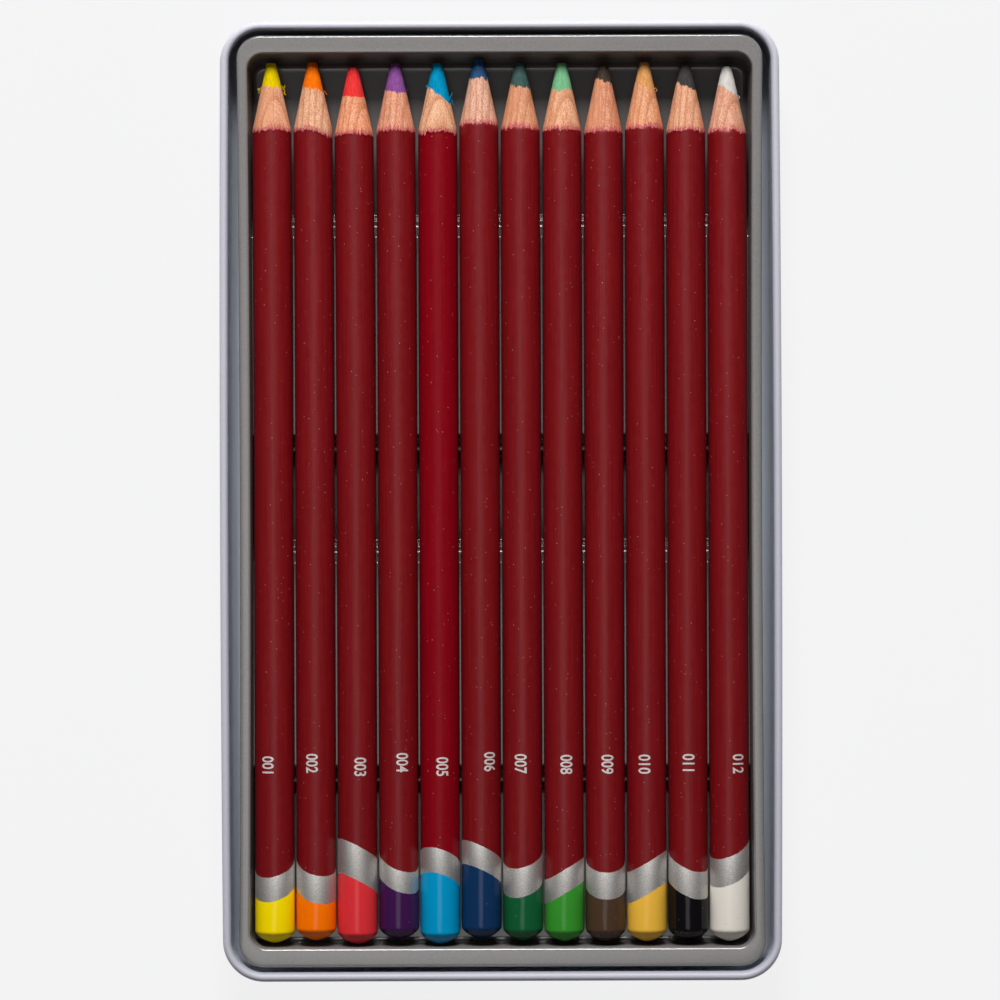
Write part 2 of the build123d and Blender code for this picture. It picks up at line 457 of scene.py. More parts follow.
def dress(piece, body, slot, *nodes):
    """Shades a piece, hangs it from the body it rides and hides the CAD nodes that it stands for. slot is not
    used.
    """
    piece.data.shade_smooth()
    piece.data.set_sharp_from_angle(angle=SHARP)
    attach(piece, body)
    if nodes:
        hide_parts(*nodes)


def inside_of_tin(face):
    """True for a face of the inner side, which isn't enamelled."""
    spot = face.center / MM
    outwards = Vector((spot.x, spot.y, 0))
    faces_in = face.normal.z > 0.6 or face.normal.dot(outwards) < 0  # up from the floor, or in from a wall
    return spot.z < bead_height - METAL_DROP and faces_in


def inset_from_outline(spot):
    """How far inside the tin's outermost line a place in millimetres lies, seen from above."""
    swell = TIN_SWELL * (1 - (2 * spot.y / TIN_LENGTH) ** 2)
    past_x = abs(spot.x) - (TIN_WIDTH / 2 - TIN_SWELL + swell - TIN_CORNER)
    past_y = abs(spot.y) - (TIN_LENGTH / 2 - TIN_CORNER)
    return TIN_CORNER - math.hypot(max(past_x, 0), max(past_y, 0)) - min(max(past_x, past_y), 0)


thicken(tin, TIN_SHEET, 0.0)
# Share across the curl, which sets how much painted shade greys the enamel there
share = tin.data.attributes.new(CURL_SHADE_SHARE, "FLOAT", "POINT")
for vertex in tin.data.vertices:
    on_curl = vertex.co.z > (bead_height - CURL_DROP) * MM
    share.data[vertex.index].value = inset_from_outline(vertex.co / MM) / BEAD if on_curl else 0.0
tin.data.materials.append(tinplate)
for face in tin.data.polygons:
    face.material_index = 1 if inside_of_tin(face) else 0
dress(tin, "tin", "tinplate", "tin_base")
print("tin:", len(tin.data.polygons), "faces,", [round(v / MM, 2) for v in tin.dimensions], "mm")

# %% [markdown]
# ## The tray's finish
#
# The tray is grey polystyrene sheet, softened by heat and sucked down over a mould. Such a sheet has a low
# gloss, with a fine, even tooth, and the pigment leaves it slightly mottled. Low in the tray the grey is
# painted darker as painted shade, and the crests between the pencils carry painted shade too.

# %% Grey polystyrene
TRAY_DEEP, TRAY_SHALLOW = 6.5, 10.0  # heights between which the painted shade fades from full to none
styrene, tree, shader, mm = new_finish("vacuum-formed grey polystyrene", "#83807F", 0.22, IOR=1.55,
                                       Specular_IOR_Level=0.8)
mottle = cloud(tree, mm, (0.45, 0.45, 0.45), 5.0, 0.65)
broad = cloud(tree, mm, (9, 9, 9), 2.0)
spot = add(tree, "ShaderNodeSeparateXYZ", {0: mm}).outputs
# Painted shade: #534F4E darkens the grey low down in the tray, by height
toned = layered(tree, "#7B7877", (mottle, 0.32, 0.68, 0, 1, "#878483"),
                (broad, 0.35, 0.65, 0, 0.35, "#86827F"),
                (spot["Z"], TRAY_DEEP, TRAY_SHALLOW, 0.8, 0.0, "#534F4E"))
# Painted shade between the barrels: #3A2423 on the crests from 4.8 mm up, gone above 7.2 mm and past the
# beds' ends
from_middle = add(tree, "ShaderNodeMath", {0: spot["Y"]}, operation="ABSOLUTE")
rubbed_and_shade = between(tree, spot["Z"], 4.8, 6.0, 0.0, 0.45)
for fade in (between(tree, from_middle, 55.0, 57.0, 1.0, 0.0), between(tree, spot["Z"], 6.4, 7.2, 1.0, 0.0)):
    rubbed_and_shade = add(tree, "ShaderNodeMath", {0: rubbed_and_shade, 1: fade}, operation="MULTIPLY")
feed(shader, {"Base Color": blend(tree, rubbed_and_shade, toned, "#3A2423"),
              "Roughness": between(tree, mottle, 0.3, 0.7, 0.2, 0.26)})
dent(tree, shader, mottle, 0.004)
print(styrene.name)

# %% [markdown]
# ## The tray
#
# The tray is one formed sheet: a lip that turns down, a flat flange, a rounded mouth, walls with a draft, and
# a floor that rises to two beds with a groove for each pencil. The far wall, beyond the points, leans back
# most. The tray could be cut from a block with booleans, but one continuous surface is what a formed sheet
# is, and it keeps every edge soft. So its points are laid out as a chart of rows and columns. The inner part
# of the chart is the floor, where each point only needs a height. The rest are loops round it, each a rounded
# oblong with its own size and height.

# %% The tray's sizes
TRAY_LENGTH, TRAY_WIDTH, TRAY_CORNER = 191.0, 107.0, 4.9
TRAY_WAIST = 0.4
TRAY_TOP, TRAY_SHEET, TRAY_SHIFT = 11.6, 0.5, 0.1
LIP_DEPTH, LIP_ROUND = 2.2, 0.7
MOUTH_LENGTH, MOUTH_WIDTH, MOUTH_CORNER, MOUTH_ROUND = 183.4, 102.7, 3.4, 0.5
WALL_DRAFT = math.radians(4)
FAR_DRAFT = math.radians(8.7)  # of the wall beyond the points, which leans back more
FAR_START = 84.0  # the lean grows from here to the wall's foot
FOOT_INSET = 0.7  # how far inside the mouth that foot is
FLOOR_ROUND = 0.8
FLOOR_HEIGHT = TIN_SHEET + TRAY_SHEET
# The beds and their ridges: the Y of each one's two ends at its top, then the top and how far the ends lean
BEDS, BED_TOP, BED_SLOPE = ((-58.0, -9.2), (10.3, 58.0)), 3.6, math.radians(20)
RIDGES, RIDGE_TOP, RIDGE_SLOPE = ((-54.5, -12.6), (13.7, 54.5)), 6.2, math.radians(40)
PITCH, AXIS_HEIGHT, BARREL, GROOVE_GAP = 8.5, 7.3, 8.05, 0.15
SOFTNESS = 0.35  # how far a soft edge of the formed bed reaches to each side

pencil_places = [PITCH * (k - 5.5) for k in range(12)]
print("pencils lie at x =", pencil_places)


# %% The bed's height
def lower(a, b):
    """The lower of two heights, with the corner between them rounded."""
    meet = max(SOFTNESS - abs(a - b), 0) / SOFTNESS
    return min(a, b) - meet * meet * SOFTNESS / 4


def higher(a, b):
    """The higher of two heights, rounded in the same way."""
    return -lower(-a, -b)


def bar_height(y, pair, top, slope):
    """Height of two bars across the tray, whose tops end at those pairs of Y and whose ends lean."""
    past = min(max(start - y, y - end) for start, end in pair)
    return lower(top, top - past / math.tan(slope))


def bed_height(x, y):
    """Height of the bed: two low blocks and two ridge blocks, less a groove for each pencil."""
    cap = higher(bar_height(y, BEDS, BED_TOP, BED_SLOPE), bar_height(y, RIDGES, RIDGE_TOP, RIDGE_SLOPE))
    radius = BARREL / 2 + GROOVE_GAP
    off = min(abs(x - place) for place in pencil_places)
    if off >= radius:
        return cap
    return lower(cap, AXIS_HEIGHT - math.sqrt(radius**2 - off**2))


print("crest", round(bed_height(0, 30), 2), "mm, groove", round(bed_height(PITCH / 2, 30), 2), "mm")

# %% [markdown]
# The chart's rows and columns stand close together where the bed bends, and far apart where it runs straight.
# So the rows crowd at the beds' outer ends and again at both sides of the gap between them. Six more lines at
# each edge carry the rounded corners.

# %% Rows and columns
CORNER_LINES = 6
GAP_FAR, GAP_NEAR = 68.25, 67.15  # what turns a row at a bed's outer end into one at its end at the gap
row_bends = [54.1, 54.4, 54.7, 55.2, 55.7, 56.1, 56.35, 56.6, 57.2, 57.7, 57.9, 58.1, 58.4, 58.7, 59.0, 59.3]
row_runs = [3, 24, 40, 50, 61, 66, 72, 78, 83]
gap_bends = [GAP_FAR - y for y in row_bends] + [y - GAP_NEAR for y in row_bends]
rows = sorted([side * y for y in row_bends + row_runs for side in (-1, 1)] + gap_bends)
across_groove = [0, 0.8, 1.6, 2.4, 3.0, 3.45, 3.75, 3.95, 4.1]
columns = set()
for place in pencil_places:
    columns.update(round(place + side * off, 4) for off in across_groove for side in (-1, 1))
    columns.update((round(place - PITCH / 2, 4), round(place + PITCH / 2, 4)))
columns = sorted(x for x in columns if abs(x) < 48.0)
print(len(rows), "rows and", len(columns), "columns")


# %% One loop of the chart
def corner_angle(k):
    """Angle of the corner line k lines from the corner's middle."""
    return math.radians(45 / CORNER_LINES * k)


def quarter(half_width, half_length, corner):
    """The corner's points from the long side to the short one, and where its centre is."""
    centre_x = half_width + TRAY_WAIST - corner
    centre_y = half_length - corner
    points = []
    for k in range(2 * CORNER_LINES + 1):
        turn = corner_angle(k)
        points.append((centre_x + corner * math.cos(turn), centre_y + corner * math.sin(turn)))
    return points


def chart_loop(half_width, half_length, corner, height):
    """A rounded oblong, anticlockwise from the lower left corner, whose long sides draw in at mid-length."""
    arc = quarter(half_width, half_length, corner)
    right = [(half_width + TRAY_WAIST * (y / half_length) ** 2, y) for y in rows]
    bottom = [(x, -half_length) for x in columns]
    half = CORNER_LINES
    points = [(-x, -y) for x, y in arc[half:]] + bottom + [(x, -y) for x, y in reversed(arc)] + right
    points += arc + [(-x, -y) for x, y in bottom] + [(-x, y) for x, y in reversed(arc)]
    points += [(-x, y) for x, y in reversed(right)] + [(-x, -y) for x, y in arc[:half]]
    return [Vector((x, y + TRAY_SHIFT, height)) for x, y in points]


def lean_back(point):
    """Moves a point of the floor or walls as far as the far wall's lean asks."""
    share = min(max((point.y - FAR_START) / (MOUTH_LENGTH / 2 - FOOT_INSET - FAR_START), 0), 1)
    point.y -= share * max(TRAY_TOP - point.z, 0) * (math.tan(FAR_DRAFT) - math.tan(WALL_DRAFT))
    return point


def from_mouth(inset, height):
    loop = chart_loop(MOUTH_WIDTH / 2 - inset, MOUTH_LENGTH / 2 - inset, MOUTH_CORNER - inset, height)
    return [lean_back(point) for point in loop]


def from_edge(inset, height):
    return chart_loop(TRAY_WIDTH / 2 - inset, TRAY_LENGTH / 2 - inset, TRAY_CORNER - inset, height)


print("points in a loop:", len(from_edge(0, 0)))


# %% All loops, from the floor's edge to the lip
WALL_HEIGHTS = (3.4, 4.5, 5.3, 5.75, 6.2, 8.5, 10.2)
FOOT_STEPS, EDGE_STEPS = 8, 7  # how many steps the wall's foot and the mouth's and lip's edges take


def tray_loops():
    loops = []
    foot_height = FLOOR_HEIGHT + FLOOR_ROUND
    foot_inset = (TRAY_TOP - foot_height) * math.tan(WALL_DRAFT) + FLOOR_ROUND / math.cos(WALL_DRAFT)
    for k in range(FOOT_STEPS + 1):
        turn = (math.pi / 2 - WALL_DRAFT) * k / FOOT_STEPS
        loops.append(from_mouth(foot_inset - FLOOR_ROUND * math.sin(turn),
                                foot_height - FLOOR_ROUND * math.cos(turn)))
    loops += [from_mouth((TRAY_TOP - height) * math.tan(WALL_DRAFT), height) for height in WALL_HEIGHTS]
    middle = MOUTH_ROUND * (math.tan(WALL_DRAFT) - 1 / math.cos(WALL_DRAFT))
    for k in range(EDGE_STEPS + 1):
        turn = WALL_DRAFT + (math.pi / 2 - WALL_DRAFT) * k / EDGE_STEPS
        loops.append(from_mouth(middle + MOUTH_ROUND * math.cos(turn),
                                TRAY_TOP - MOUTH_ROUND + MOUTH_ROUND * math.sin(turn)))
    for k in range(EDGE_STEPS + 1):
        turn = math.pi / 2 * k / EDGE_STEPS
        loops.append(from_edge(LIP_ROUND * (1 - math.sin(turn)), TRAY_TOP - LIP_ROUND * (1 - math.cos(turn))))
    return loops + [from_edge(0, WALL_HEIGHTS[-1]), from_edge(0, TRAY_TOP - LIP_DEPTH)]


loops = tray_loops()
print(len(loops), "loops")

# %% [markdown]
# Now the chart becomes a mesh. Its outermost row and column on each side are the first loop's points, and the
# others only need a height. Every point is lifted to the beds where they are higher than it, so that they
# grow out of floor and walls alike, as in the formed sheet. Solidify then adds the sheet's thickness below.

# %% Build the tray
BED_REACH = 9.0  # no point above this height belongs to a bed


def inner_lines(values, arc, which):
    """Where the chart's inner lines are: the corner's, the given ones between, and the corner's again."""
    steps = [point[which] for point in arc]
    side = steps[:CORNER_LINES] if which else steps[CORNER_LINES + 1 :]
    return sorted(-s for s in side) + list(values) + sorted(side)


def make_tray():
    first = loops[0]
    count = len(first)
    half_width = max(p.x for p in first) - TRAY_WAIST
    half_length = TRAY_SHIFT - min(p.y for p in first)
    arc = quarter(half_width, half_length, MOUTH_CORNER - (MOUTH_WIDTH / 2 - half_width))
    xs, ys = inner_lines(columns, arc, 0), inner_lines(rows, arc, 1)
    wide, tall = len(xs) + 2, len(ys) + 2
    points = [p.copy() for loop in loops for p in loop]
    # Where each place of the chart is among the points: its rim is the first loop
    rim = [(i, 0) for i in range(wide)] + [(wide - 1, j) for j in range(1, tall)]
    rim += [(i, tall - 1) for i in range(wide - 2, -1, -1)] + [(0, j) for j in range(tall - 2, 0, -1)]
    chart = {place: k for k, place in enumerate(rim)}
    for i, x in enumerate(xs, 1):
        for j, y in enumerate(ys, 1):
            chart[(i, j)] = len(points)
            points.append(lean_back(Vector((x, y + TRAY_SHIFT, FLOOR_HEIGHT))))
    for p in points:
        if p.z < BED_REACH:
            p.z = higher(p.z, bed_height(p.x, p.y))
    faces = [[chart[(i, j)], chart[(i + 1, j)], chart[(i + 1, j + 1)], chart[(i, j + 1)]]
             for i in range(wide - 1) for j in range(tall - 1)]
    for ring in range(len(loops) - 1):
        for k in range(count):
            here, after = ring * count + k, ring * count + (k + 1) % count
            faces.append([here, here + count, after + count, after])
    print("the chart's rim has", len(rim), "points, and so has each loop:", count)
    mesh = bpy.data.meshes.new("tray")
    mesh.from_pydata([p * MM for p in points], [], faces)
    mesh.materials.append(styrene)
    return mesh


tray = put("tray", make_tray())
thicken(tray, TRAY_SHEET, -1.0)
dress(tray, "tray", "tray", "pencil_tray")
print("tray:", len(tray.data.polygons), "faces,", [round(v / MM, 2) for v in tray.dimensions], "mm")

# %% [markdown]
# ## The pencils' measures
#
# The twelve pencils are of one kind, but no two lie or are cut alike. Each has its own place, its own turn in
# the groove, and its own depth of dip. A sharpener's blade runs a little off the core's middle, so the core
# comes out further on one side than on the other. The table gives what differs, in millimetres and degrees.

# %% What all pencils share, and what differs
CORE_SIZE = 2.0  # the core's radius
BARREL_SIZE = BARREL / 2
LACQUER = 0.1  # thickness of the coat
POINT, POINT_SIZE = 14.0, 1.0
DIP = 0.075
DIP_SLANT = math.tan(math.radians(30))
WOOD_START, COAT_START = 1.0, 3.2  # from the blunt end to where wood and lacquer begin, under the dip
WARP_START = 120.0  # from the blunt end to where a pencil starts to bend

Pencil = namedtuple("Pencil", "index x name end length roll reach wood lacquer band aside warp")

# Each pencil's name, the Y of its blunt end, its length, the degrees it has rolled and the dip's reach along
# the axis. Then how far from the point the wood and the lacquer start, on the left and on the right, the foil
# band's width, how far to the side the number is, and how far the point end is bent to the side
MEASURES = [
    ("yellow", -90.7, 180.9, -24, 11.0, (4.6, 5.4), (14.05, 14.0), 5.0, -2.4, -0.17),
    ("orange", -90.2, 180.5, 26, 10.0, (4.9, 6.1), (13.7, 15.3), 5.7, -1.85, -0.25),
    ("red", -91.0, 180.3, 118, 12.4, (6.2, 6.2), (14.0, 14.0), 7.1, -0.4, -0.38),
    ("violet", -90.1, 180.1, 38, 12.0, (5.7, 6.2), (13.9, 13.9), 4.4, -0.3, -0.2),
    ("cyan", -91.0, 181.0, 149, 12.7, (4.6, 8.3), (14.3, 14.3), 5.1, -0.6, -0.03),
    ("blue", -90.0, 181.0, 124, 13.2, (4.1, 4.1), (13.6, 13.6), 4.9, 0.7, -0.07),
    ("dark_green", -90.4, 180.5, -25, 11.4, (4.5, 5.5), (13.6, 13.7), 6.0, -1.6, -0.1),
    ("light_green", -90.6, 180.6, -90, 10.1, (5.6, 5.6), (13.9, 13.9), 4.9, -0.7, 0.05),
    ("brown", -90.6, 180.1, 3, 11.2, (2.7, 3.9), (13.8, 13.7), 5.5, -0.8, 0.05),
    ("ochre", -90.6, 180.7, -90, 10.0, (4.1, 6.1), (13.7, 13.7), 6.5, -1.75, 0.0),
    ("black", -90.5, 180.4, 42, 11.0, (4.1, 5.8), (14.15, 14.1), 5.6, -1.2, -0.05),
    ("white", -90.6, 179.8, -43, 13.5, (3.6, 6.3), (13.5, 13.5), 5.8, 0.6, -0.04),
]
pencils = [Pencil(k, pencil_places[k], *row) for k, row in enumerate(MEASURES)]
print(len(pencils), "pencils:", ", ".join(pencil.name for pencil in pencils))

# %% [markdown]
# ## Cedar
#
# The casing is cedar, which pencils are made of because it is soft and straight in the grain, so a blade cuts
# it clean. Sharpened, it shows long, thin fibres, broad pale and dark growth bands, and short torn teeth. All
# of it runs along the pencil. Each stick has its own warmth, and two slats meet in a fine, dark seam.

# %% Wood for one pencil
AHEAD = "mm_ahead_of_lacquer"  # kept on the wood's mesh


def cedar_finish(pencil, tint, shade, rings, seam):
    """Cut cedar. rings is how far the growth rings lean from upright, in degrees. seam is the same for the
    glue line, or None where it can't be seen."""
    material, tree, shader, mm = new_finish(f"sharpened cedar, {pencil.name}", tint, 0.65, IOR=1.5,
                                            Specular_IOR_Level=0.3)
    middle = add(tree, "ShaderNodeVectorMath", {0: mm, 1: (pencil.x, pencil.end, AXIS_HEIGHT)},
                 operation="SUBTRACT")
    fibres = cloud(tree, mm, (0.16, 2.6, 0.16), 3.0, 0.65)
    streaks = cloud(tree, mm, (0.55, 12.0, 0.55), 2.0, 0.55)
    flecks = cloud(tree, mm, (0.14, 0.3, 0.14), 3.0, 0.6)
    pores = cloud(tree, mm, (0.18, 0.7, 0.18), 2.0)
    patches = cloud(tree, mm, (1.5, 4.0, 1.5), 2.0)
    # Growth rings are sheets along the pencil, and the cone cuts them into lines and long arches
    lean = add(tree, "ShaderNodeMapping", {"Vector": middle, "Rotation": (0, math.radians(rings), 0)})
    bands = add(tree, "ShaderNodeTexWave", {
        "Vector": stretched(tree, lean, (4.2, 40.0, 4.2)), "Scale": 1.0, "Distortion": 1.2, "Detail": 2.0,
        "Detail Scale": 1.2,
    }, bands_direction="X", wave_profile="SAW").outputs["Fac"]
    wood = layered(tree, tint, (patches, 0.42, 0.62, 0, 0.8, shade),
                   (streaks, 0.4, 0.6, 0.8, 0.0, blend(tree, 0.3, tint, "#FFE6CC")),
                   (fibres, 0.45, 0.62, 0, 0.6, shade), (bands, 0.55, 1.0, 0, 0.75, "#B4683F"),
                   (pores, 0.54, 0.64, 0, 0.55, "#A25D38"),
                   (flecks, 0.36, 0.48, 0.4, 0.0, blend(tree, 0.4, tint, "#FFE6CC")),
                   (flecks, 0.54, 0.64, 0.0, 0.7, "#A9643D"))
    if seam is not None:
        own = add(tree, "ShaderNodeMapping", {"Vector": middle, "Rotation": (0, math.radians(seam), 0)})
        aside = add(tree, "ShaderNodeSeparateXYZ", {0: own}).outputs["X"]
        off = add(tree, "ShaderNodeMath", {0: aside}, operation="ABSOLUTE")
        wood = layered(tree, wood, (aside, -0.06, 0.06, 0.4, 0.0, "#CF8A63"),
                       (off, 0.02, 0.2, 0.4, 0.0, "#A4633F"))
    # Lacquer that the blade drags over the wood, in spikes just ahead of the coat's edge
    spikes = cloud(tree, mm, (0.13, 1.3, 0.13), 2.0, 0.6)
    ahead = add(tree, "ShaderNodeAttribute", attribute_name=AHEAD).outputs["Fac"]
    dragged = add(tree, "ShaderNodeMath", {0: between(tree, spikes, 0.4, 0.6, 0.05, 1.15), 1: ahead},
                  operation="SUBTRACT")
    feed(shader, {"Base Color": layered(tree, wood, (dragged, -0.05, 0.2, 0.0, 0.9, "#A81F42"),
                                        (ahead, 0.0, 1.6, 0.3, 0.0, "#D06A72"))})
    dent(tree, shader, fibres, 0.08)
    return material


# Each stick's tint and shade, the lean of its growth rings and of its seam
sticks = [
    ("#E6A37D", "#D58F66", 72, -8), ("#E3AA86", "#D2946C", 12, None), ("#E8946A", "#DC8455", 38, None),
    ("#DF9675", "#CB7F5E", 20, None), ("#E5AC84", "#D6976A", 80, None), ("#DEAA92", "#CB9177", 8, None),
    ("#D8926A", "#C87C52", 30, 12), ("#E4A47B", "#D68E62", 65, None), ("#D88865", "#C4734F", 15, 6),
    ("#E1986A", "#D88752", 40, None), ("#DFA07B", "#D08B63", 22, None), ("#DFA388", "#CF8D70", 55, None),
]
cedar = {pencil.name: cedar_finish(pencil, *stick) for pencil, stick in zip(pencils, sticks)}
print(len(cedar), "woods")

# %% [markdown]
# ## Pastel core
#
# A pastel core is pigment and chalk pressed with a little gum. It is powdery, so it scatters light and hardly
# shines, and the blade leaves it with a fine grain and small pits. Some of it is rubbed darker.


# %% A core's finish
def core_finish(name, colour, rubbed_and_shade):
    material, tree, shader, mm = new_finish(f"pressed pastel, {name}", colour, 0.85, IOR=1.45,
                                            Specular_IOR_Level=0.05)
    grains = cloud(tree, mm, (0.16, 0.16, 0.16), 3.0, 0.6)
    strokes = cloud(tree, mm, (0.35, 1.6, 0.35))
    feed(shader, {"Base Color": layered(tree, colour, (strokes, 0.35, 0.7, 0, 0.8, rubbed_and_shade),
                                        (grains, 0.55, 0.75, 0, 0.4, rubbed_and_shade))})
    dent(tree, shader, grains, 0.06)
    return material


core_colours = {
    "yellow": ("#DEC404", "#BE9E00"), "orange": ("#F2750A", "#D25803"), "red": ("#E63A3A", "#C82828"),
    "violet": ("#8B5194", "#6F3B77"), "cyan": ("#048FBA", "#027098"), "blue": ("#30557B", "#213D63"),
    "dark_green": ("#435C58", "#304845"), "light_green": ("#7AB588", "#5D9C6E"),
    "brown": ("#4A3F36", "#352C25"), "ochre": ("#D79B5F", "#BB7B41"), "black": ("#444341", "#2F2E2C"),
    "white": ("#D0CCC7", "#B6B0AA"),
}
cores = {name: core_finish(name, *colours) for name, colours in core_colours.items()}
print(len(cores), "cores")

# %% [markdown]
# ## Lacquer, foil and dip
#
# The barrels are lacquered in a deep wine red, in several thin coats, each pushed through a ring. That leaves
# faint streaks along the pencil and a soft gloss. Handling leaves dust on it, pale and dark. The foil band
# and the number are stamped with hot metal foil, which takes the lacquer's texture. The number's foil is
# paler and worn through in spots. The blunt end is dipped in thick enamel of the core's colour, which stands
# a little proud and is the shiniest part.


# %% Dust, lacquer and foil
def specks_of(tree, mm, spacing, size, share):
    """Small round specks: 1 inside, 0 outside. share is how many of the places have one."""
    cells = add(tree, "ShaderNodeTexVoronoi", {"Vector": mm, "Scale": 1 / spacing}).outputs
    inside = between(tree, cells["Distance"], size * 0.6 / spacing, size / spacing, 1.0, 0.0)
    chance = add(tree, "ShaderNodeSeparateXYZ", {0: cells["Color"]})
    kept = add(tree, "ShaderNodeMath", {0: chance, 1: share}, operation="LESS_THAN")
    return add(tree, "ShaderNodeMath", {0: inside, 1: kept}, operation="MULTIPLY")


def lacquer_finish(name, colour, deep, shine):
    material, tree, shader, mm = new_finish(name, colour, 0.42, IOR=1.5, Specular_IOR_Level=shine)
    streaks = cloud(tree, mm, (0.3, 18, 0.3))
    wear = cloud(tree, mm, (1.2, 2.2, 1.2), 4.0, 0.6)
    coats = layered(tree, colour, (streaks, 0.35, 0.68, 0, 1, deep))
    for spacing, size, share, dust in ((0.55, 0.06, 0.4, "#9C4A48"), (1.1, 0.1, 0.5, "#B98F8C"),
                                       (1.6, 0.13, 0.45, "#3A0508")):
        coats = blend(tree, specks_of(tree, mm, spacing, size, share), coats, dust)
    feed(shader, {"Base Color": coats, "Roughness": between(tree, wear, 0.3, 0.7, 0.36, 0.47)})
    dent(tree, shader, wear, 0.01)
    return material


wine = lacquer_finish("wine red lacquer", "#7E0911", "#70040C", 0.45)
ruby = lacquer_finish("ruby red lacquer", "#880112", "#7B000F", 0.2)

foil, tree, shader, mm = new_finish("stamped silver foil", "#D0CCC8", 0.6, Metallic=1.0)
flakes = cloud(tree, mm, (0.22, 0.22, 0.22), 4.0, 0.7)
feed(shader, {"Base Color": layered(tree, "#DFDBD7", (flakes, 0.35, 0.68, 0, 1, "#B3B0AD")),
              "Roughness": between(tree, flakes, 0.3, 0.7, 0.54, 0.68)})
dent(tree, shader, flakes, 0.02)

pale_foil, tree, shader, mm = new_finish("stamped pale foil", "#E6DEDB", 0.5, Metallic=0.3)
worn_off = cloud(tree, mm, (0.12, 0.3, 0.12), 3.0, 0.7)
feed(shader, {"Base Color": layered(tree, "#E6DEDB", (worn_off, 0.56, 0.66, 0, 0.8, "#9B5D5D"))})
dent(tree, shader, worn_off, 0.01)
print(wine.name, "|", ruby.name, "|", foil.name, "|", pale_foil.name)

# %% The dips' enamels
CREASE = 2.0  # from the blunt end to the edge where its dome meets the barrel


def dip_finish(pencil, colour, grime):
    """Thick enamel, with grime in a ring at the crease of the blunt end."""
    material, tree, shader, mm = new_finish(f"dipped enamel, {pencil.name}", colour, 0.16, IOR=1.5,
                                            Specular_IOR_Level=0.28)
    along = add(tree, "ShaderNodeSeparateXYZ", {0: mm}).outputs["Y"]
    crease = add(tree, "ShaderNodeMath", {0: along, 1: pencil.end + CREASE}, operation="SUBTRACT")
    off = add(tree, "ShaderNodeMath", {0: crease}, operation="ABSOLUTE")
    ring = between(tree, off, 0.05, 0.45, 0.35, 0.0)
    spots = between(tree, cloud(tree, mm, (0.28, 0.16, 0.28)), 0.52, 0.62, 0.0, 1.0)
    dirty = add(tree, "ShaderNodeMath", {0: ring, 1: spots}, operation="MULTIPLY")
    dusty = blend(tree, specks_of(tree, mm, 1.2, 0.1, 0.4), colour, grime)
    feed(shader, {"Base Color": blend(tree, dirty, dusty, grime)})
    dent(tree, shader, cloud(tree, mm, (2.5, 4.0, 2.5), 1.0), 0.05)
    return material


dip_colours = {
    "yellow": ("#FFE000", "#8A7A20"), "orange": ("#FF7600", "#8F4A1A"), "red": ("#DF3339", "#7A2228"),
    "violet": ("#3E164B", "#8F7C96"), "cyan": ("#0096C8", "#3A6474"), "blue": ("#10325A", "#74859A"),
    "dark_green": ("#125A32", "#7B8F80"), "light_green": ("#37912D", "#5A7A4A"),
    "brown": ("#4B3728", "#948471"), "ochre": ("#F0B941", "#94723A"), "black": ("#0F0C0F", "#8A8784"),
    "white": ("#E8E1D6", "#8F857A"),
}
dips = {pencil.name: dip_finish(pencil, *dip_colours[pencil.name]) for pencil in pencils}
print(len(dips), "dips")

# %% [markdown]
# ## Pieces turned about the pencil
#
# Every coat of a pencil is nearly a turned shape, but its edge is not: the blade leaves it torn, and the dip
# ends on a slant. A lathe or Blender's Screw can't do that. So each piece is made of rings of points. A ring
# is a rule that gives, for an angle, the radius and the place along the pencil, and neighbouring rings are
# joined by faces. Where an end comes to a point, one shared point closes it.

# %% Join rings into a closed mesh
ROUND = 168  # points in a ring


def on_pencil(pencil, angle, radius, along):
    """The place at an angle from the pencil's own top, a radius and a distance from its blunt end."""
    facing = angle + math.radians(pencil.roll)
    bend = pencil.warp * (max(along - WARP_START, 0) / (pencil.length - WARP_START)) ** 2
    return Vector((pencil.x + bend + radius * math.sin(facing), pencil.end + along,
                   AXIS_HEIGHT + radius * math.cos(facing))) * MM


def turned_mesh(pencil, part, rings, start=None, stop=None):
    """A mesh about a pencil. Each ring is a rule from angle to (radius, place along). start and stop are the
    places of the points that close the two ends. Without them the last ring is joined to the first."""
    angles = [2 * math.pi * step / ROUND for step in range(ROUND)]
    points = [on_pencil(pencil, angle, *rule(angle)) for rule in rings for angle in angles]
    pairs = [(r, r + 1) for r in range(len(rings) - 1)]
    if start is None:
        pairs.append((len(rings) - 1, 0))
    around = [(step, (step + 1) % ROUND) for step in range(ROUND)]
    faces = [(low * ROUND + here, high * ROUND + here, high * ROUND + after, low * ROUND + after)
             for low, high in pairs for here, after in around]
    if start is not None:
        for place, ring in ((start, 0), (stop, len(rings) - 1)):
            faces += [(len(points), ring * ROUND + here, ring * ROUND + after) for here, after in around]
            points.append(on_pencil(pencil, 0, 0, place))
    mesh = bpy.data.meshes.new(f"{pencil.name}_{part}")
    mesh.from_pydata(points, [], faces)
    face_outwards(mesh)
    return mesh


def cone_radius(distance):
    """The cone's radius at this distance from the point."""
    return POINT_SIZE + (BARREL_SIZE - POINT_SIZE) * distance / POINT


def steady(radius, along):
    """A ring's rule with nothing uneven in it."""
    return lambda angle: (radius, along)


def place_piece(mesh, material, body, slot, *nodes):
    """An object for a mesh that is in its place, named as the mesh."""
    mesh.materials.clear()
    mesh.materials.append(material)
    dress(put(mesh.name, mesh), body, slot, *nodes)


print("cone at 5 mm:", round(cone_radius(5), 2), "mm radius")

# %% [markdown]
# The torn edges come from noise. It is read on a circle, so that it meets itself after a full turn. One slow
# wave makes the edge wander, and a fast one, folded so that its peaks are sharp, makes the teeth.

# %% Edges on the cone
SIDE_DROP = 0.45  # the blade takes off more lacquer at the two sides
CORE_RUN = 0.8  # the core's cone goes on for this long under the wood
CORE_EASE = 0.04  # and is this much slimmer there


